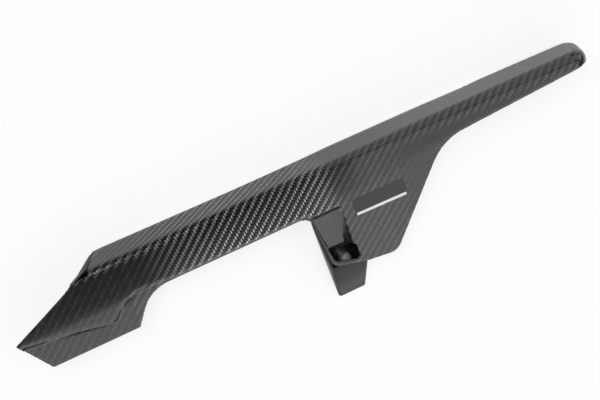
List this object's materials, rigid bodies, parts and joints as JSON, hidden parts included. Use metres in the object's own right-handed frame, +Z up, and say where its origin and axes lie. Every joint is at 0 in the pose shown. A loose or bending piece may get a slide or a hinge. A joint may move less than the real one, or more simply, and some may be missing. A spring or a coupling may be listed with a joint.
{
  "type": "motorcycle chain guard",
  "caption": "Long moulded carbon cloth guard that covers a motorcycle's drive chain, with a web and a hollow bracket bolted to the swingarm.",
  "frame": {"origin": "on the axis of the mounting bolt, in the bracket's face that meets the swingarm", "axes": "+X to the rear along the chain run, +Y inward to the swingarm, +Z up; the outer side faces -Y"},
  "size_m": [0.5364, 0.0378, 0.1257],
  "materials": {
    "carbon_twill": "clear-coated 2x2 twill carbon cloth",
    "carbon_smooth": "clear-coated black laminate",
    "bush_metal": "turned metal"
  },
  "bodies": {
    "root": {"cover": "carbon_twill", "bracket": "carbon_smooth", "bolt_bush": "bush_metal"}
  },
  "joints": []
}
